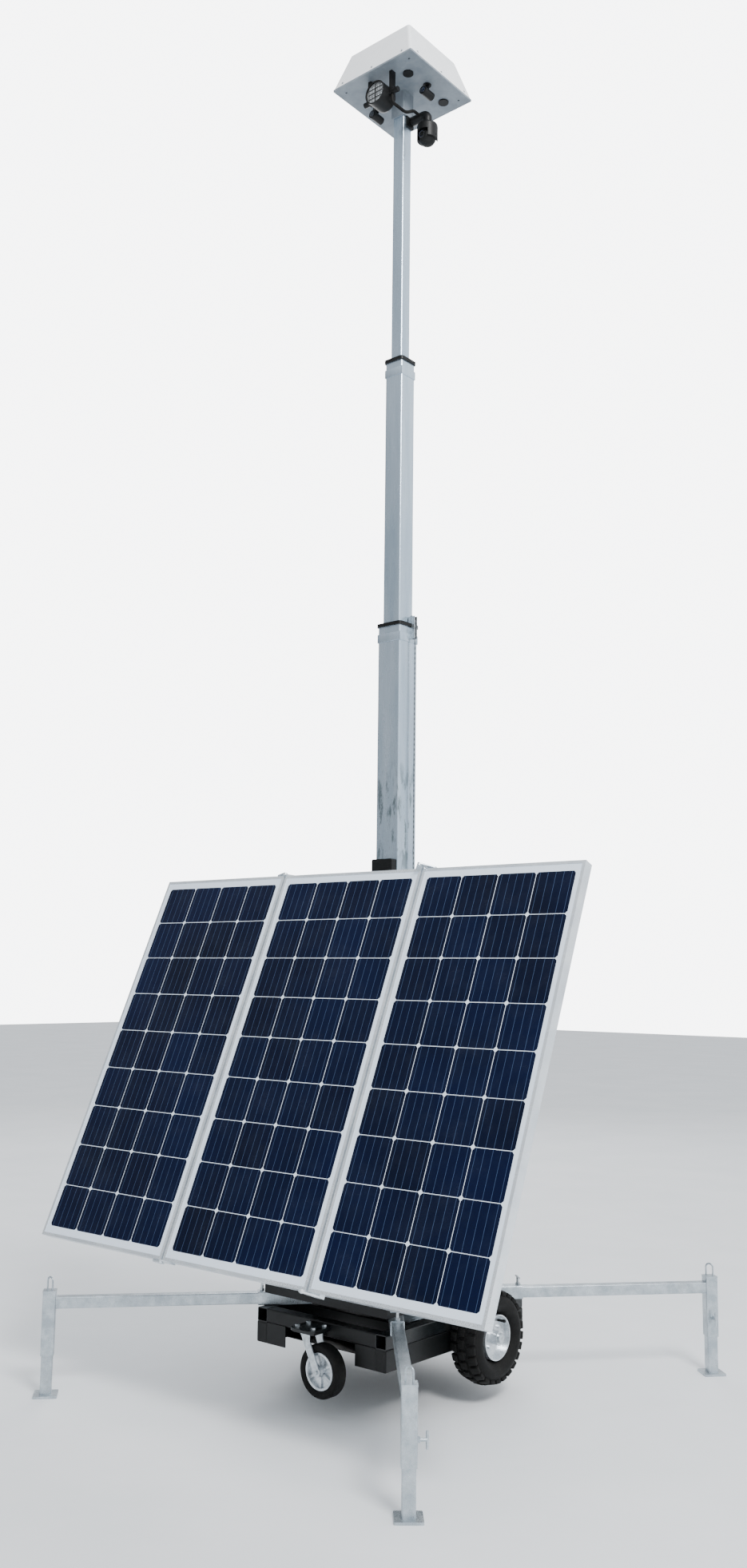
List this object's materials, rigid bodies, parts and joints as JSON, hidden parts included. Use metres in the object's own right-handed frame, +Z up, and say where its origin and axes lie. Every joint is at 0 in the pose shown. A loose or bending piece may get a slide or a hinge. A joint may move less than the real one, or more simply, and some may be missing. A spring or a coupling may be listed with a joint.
{
  "type": "portable solar mast trolley",
  "caption": "Three-wheel trolley on telescopic outriggers carrying a square telescopic mast, a fold-out solar array and a camera and floodlight head.",
  "frame": {"origin": "on the ground, under the centre of the mast", "axes": "+Z up along the mast, -Y the way the solar array faces, +X to the right as seen facing the array from behind it"},
  "size_m": [2.04, 1.9888, 5.377],
  "materials": {
    "painted_steel": "galvanised grey",
    "galvanised": "satin galvanised",
    "aluminium_mast": "satin extruded",
    "frame_aluminium": "anodised",
    "cells": "dark cells under glass",
    "black_box": "satin black",
    "black_plastic": "matte black",
    "rubber": "matte",
    "tyre": "matte",
    "rim": "satin",
    "white_cover": "white",
    "plate_grey": "grey",
    "lens": "clear",
    "rope": "wire rope",
    "steel": "zinc plated"
  },
  "bodies": {
    "chassis": {"side_rails": "painted_steel", "cross_tubes": "galvanised", "stow_tubes": "galvanised", "belly_pan": "black_plastic", "mast_base": "galvanised", "caster_tongue": "painted_steel", "rear_axle": "steel", "frame_fasteners": "steel", "arm_receivers": "galvanised", "battery_box": "black_box", "batteries": "black_plastic", "control_cabinet": "black_box", "charge_controller": "frame_aluminium", "mast_lower": "aluminium_mast", "mast_lower_guides": "black_plastic", "pulley_bracket": "steel", "winch_frame": "steel", "lifting_rope": "rope", "mast_brackets": "galvanised"},
    "battery_lid": {"battery_lid": "black_box"},
    "cabinet_door": {"cabinet_door": "black_box"},
    "pulley_sheave": {"pulley_sheave": "black_plastic"},
    "winch_drum": {"winch_drum": "steel"},
    "mast_middle": {"mast_middle": "aluminium_mast", "mast_middle_guides": "black_plastic"},
    "mast_upper": {"mast_upper": "aluminium_mast", "mast_upper_pads": "black_plastic", "head_plate": "plate_grey", "head_cover": "white_cover", "head_brackets": "black_plastic", "head_fittings": "black_plastic", "head_cable": "rubber"},
    "floodlight": {"floodlight_body": "black_plastic", "floodlight_lens": "lens"},
    "ptz_body": {"ptz_body": "black_plastic"},
    "ptz_ball": {"ptz_ball": "black_plastic"},
    "array": {"array_carrier": "galvanised", "centre_frame": "frame_aluminium", "centre_laminate": "cells"},
    "left_wing": {"left_frame": "frame_aluminium", "left_laminate": "cells"},
    "right_wing": {"right_frame": "frame_aluminium", "right_laminate": "cells"},
    "strut_tube": {"strut_tube": "galvanised"},
    "strut_rod": {"strut_rod": "steel"},
    "caster_fork": {"caster_fork": "rim"},
    "caster_wheel": {"caster_tyre": "rubber", "caster_rim": "rim"},
    "left_wheel": {"left_tyre": "tyre", "left_rim": "rim"},
    "right_wheel": {"right_tyre": "tyre", "right_rim": "rim"},
    "front_left_arm": {"front_left_arm": "galvanised"},
    "front_left_leg": {"front_left_leg": "galvanised"},
    "front_right_arm": {"front_right_arm": "galvanised"},
    "front_right_leg": {"front_right_leg": "galvanised"},
    "rear_left_arm": {"rear_left_arm": "galvanised"},
    "rear_left_leg": {"rear_left_leg": "galvanised"},
    "rear_right_arm": {"rear_right_arm": "galvanised"},
    "rear_right_leg": {"rear_right_leg": "galvanised"}
  },
  "joints": [
    {"name": "mast_middle_slide", "type": "slide", "parent": "chassis", "child": "mast_middle", "axis": [0, 0, 1], "range_m": [-1, 0]},
    {"name": "mast_upper_slide", "type": "slide", "parent": "mast_middle", "child": "mast_upper", "axis": [0, 0, 1], "range_m": [-1, 0]},
    {"name": "winch_turn", "type": "hinge", "parent": "chassis", "child": "winch_drum", "pos_m": [0.105, 0.02, 1.1], "axis": [0, 1, 0], "range_deg": [-1780.4, 0]},
    {"name": "sheave_turn", "type": "hinge", "parent": "chassis", "child": "pulley_sheave", "pos_m": [0.05975, 0.02, 2.91005], "axis": [0, 1, 0], "range_deg": [-4494.8, 0]},
    {"name": "battery_lid_hinge", "type": "hinge", "parent": "chassis", "child": "battery_lid", "pos_m": [0, -0.067, 0.6015], "axis": [-1, 0, 0], "range_deg": [0, 48]},
    {"name": "cabinet_door_hinge", "type": "hinge", "parent": "chassis", "child": "cabinet_door", "pos_m": [-0.227, 0.3015, 0.5], "axis": [0, 0, 1], "range_deg": [0, 110]},
    {"name": "array_tilt", "type": "hinge", "parent": "chassis", "child": "array", "pos_m": [0, -0.20007, 1.76808], "axis": [1, 0, 0], "range_deg": [-10, 5]},
    {"name": "left_wing_fold", "type": "hinge", "parent": "array", "child": "left_wing", "pos_m": [-0.34125, -0.267, 1.88324], "axis": [0, 0.3894, 0.921], "range_deg": [0, 180]},
    {"name": "right_wing_fold", "type": "hinge", "parent": "array", "child": "right_wing", "pos_m": [0.34125, -0.2868, 1.89161], "axis": [0, -0.3894, -0.921], "range_deg": [0, 180]},
    {"name": "strut_pivot", "type": "hinge", "parent": "chassis", "child": "strut_tube", "pos_m": [0, -0.12, 0.87165], "axis": [1, 0, 0], "range_deg": [-5, 2.5]},
    {"name": "strut_slide", "type": "slide", "parent": "strut_tube", "child": "strut_rod", "axis": [0, -0.9879, 0.1548], "range_m": [-0.0766, 0.1522]},
    {"name": "floodlight_tilt", "type": "hinge", "parent": "mast_upper", "child": "floodlight", "pos_m": [0.01, -0.152, 5.118], "axis": [1, 0, 0], "range_deg": [-20, 30]},
    {"name": "ptz_pan", "type": "hinge", "parent": "mast_upper", "child": "ptz_body", "pos_m": [0.121, 0.018, 4.976], "axis": [0, 0, 1], "continuous": true},
    {"name": "ptz_tilt", "type": "hinge", "parent": "ptz_body", "child": "ptz_ball", "pos_m": [0.121, 0.018, 4.976], "axis": [1, 0, 0], "range_deg": [0, 90]},
    {"name": "caster_swivel", "type": "hinge", "parent": "chassis", "child": "caster_fork", "pos_m": [0, -0.445, 0.15], "axis": [0, 0, 1], "continuous": true},
    {"name": "caster_spin", "type": "hinge", "parent": "caster_fork", "child": "caster_wheel", "pos_m": [0.06, -0.445, 0.15], "axis": [0, 1, 0], "continuous": true},
    {"name": "left_wheel_spin", "type": "hinge", "parent": "chassis", "child": "left_wheel", "pos_m": [-0.381, 0.08, 0.2225], "axis": [1, 0, 0], "continuous": true},
    {"name": "right_wheel_spin", "type": "hinge", "parent": "chassis", "child": "right_wheel", "pos_m": [0.381, 0.08, 0.2225], "axis": [1, 0, 0], "continuous": true},
    {"name": "front_left_arm_slide", "type": "slide", "parent": "chassis", "child": "front_left_arm", "axis": [-0.6626, -0.749, 0], "range_m": [-0.17, 0]},
    {"name": "front_left_leg_slide", "type": "slide", "parent": "front_left_arm", "child": "front_left_leg", "axis": [0, 0, 1], "range_m": [-0.03, 0.11]},
    {"name": "front_right_arm_slide", "type": "slide", "parent": "chassis", "child": "front_right_arm", "axis": [0.6626, -0.749, 0], "range_m": [-0.17, 0]},
    {"name": "front_right_leg_slide", "type": "slide", "parent": "front_right_arm", "child": "front_right_leg", "axis": [0, 0, 1], "range_m": [-0.03, 0.11]},
    {"name": "rear_left_arm_slide", "type": "slide", "parent": "chassis", "child": "rear_left_arm", "axis": [-0.6626, 0.749, 0], "range_m": [-0.17, 0]},
    {"name": "rear_left_leg_slide", "type": "slide", "parent": "rear_left_arm", "child": "rear_left_leg", "axis": [0, 0, 1], "range_m": [-0.03, 0.11]},
    {"name": "rear_right_arm_slide", "type": "slide", "parent": "chassis", "child": "rear_right_arm", "axis": [0.6626, 0.749, 0], "range_m": [-0.17, 0]},
    {"name": "rear_right_leg_slide", "type": "slide", "parent": "rear_right_arm", "child": "rear_right_leg", "axis": [0, 0, 1], "range_m": [-0.03, 0.11]}
  ],
  "couplings": [
    {"joint": "mast_upper_slide", "follows": "mast_middle_slide", "ratio": 1},
    {"joint": "winch_turn", "follows": "mast_middle_slide", "rad_per_m": 31.056},
    {"joint": "sheave_turn", "follows": "mast_middle_slide", "rad_per_m": 78.431},
    {"joint": "strut_pivot", "follows": "array_tilt", "ratio": 0.5},
    {"joint": "strut_slide", "follows": "array_tilt", "m_per_rad": -0.86659}
  ]
}
